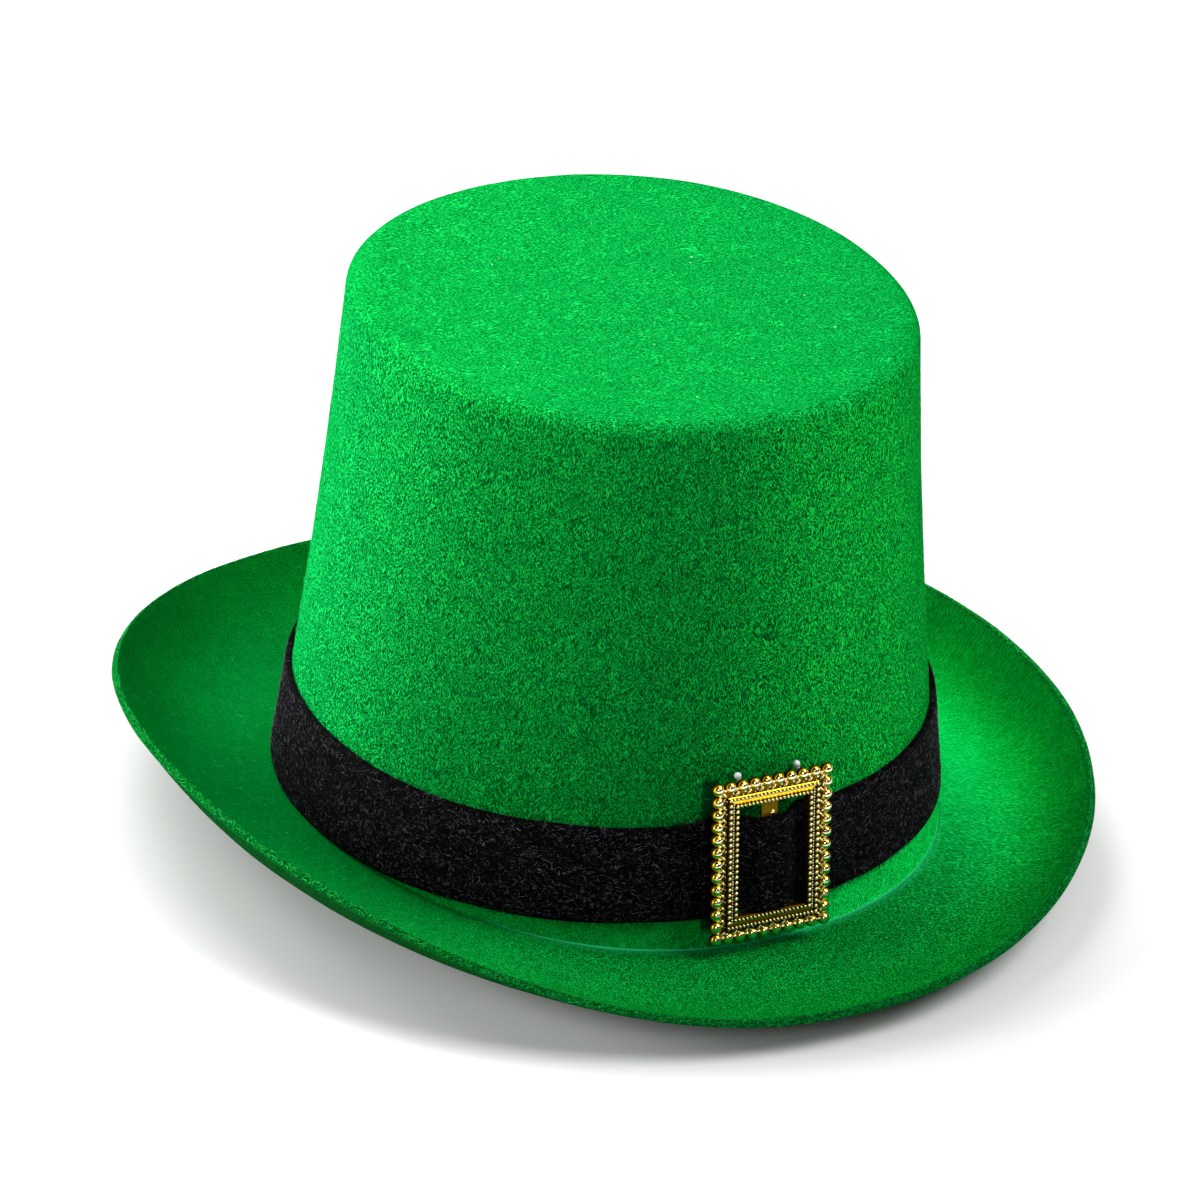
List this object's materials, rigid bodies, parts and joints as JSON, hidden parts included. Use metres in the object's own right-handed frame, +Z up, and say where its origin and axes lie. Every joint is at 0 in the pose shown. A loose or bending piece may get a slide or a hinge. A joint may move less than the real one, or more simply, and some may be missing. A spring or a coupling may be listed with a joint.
{
  "type": "costume top hat",
  "caption": "Moulded felt costume top hat with a tapered flat-topped crown, an upturned brim, a contrasting band and a beaded frame buckle.",
  "frame": {"origin": "on the surface the hat stands on, under the middle of the brim", "axes": "+Z up through the crown, -Y towards the front with the buckle, +X to the right as seen from the front"},
  "size_m": [0.2783, 0.3055, 0.163],
  "materials": {
    "green_felt": "pressed green felt with short loose fibres, matt",
    "black_felt": "thin black felt strip with fine grey fibres, matt",
    "gold_plating": "moulded plastic with a bright yellow-gold metallised coat",
    "clear_nylon": "clear colourless nylon"
  },
  "bodies": {
    "root": {"felt_body": "green_felt", "hat_band": "black_felt", "buckle_frame": "gold_plating", "fastener_left": "clear_nylon", "fastener_right": "clear_nylon"}
  },
  "joints": []
}
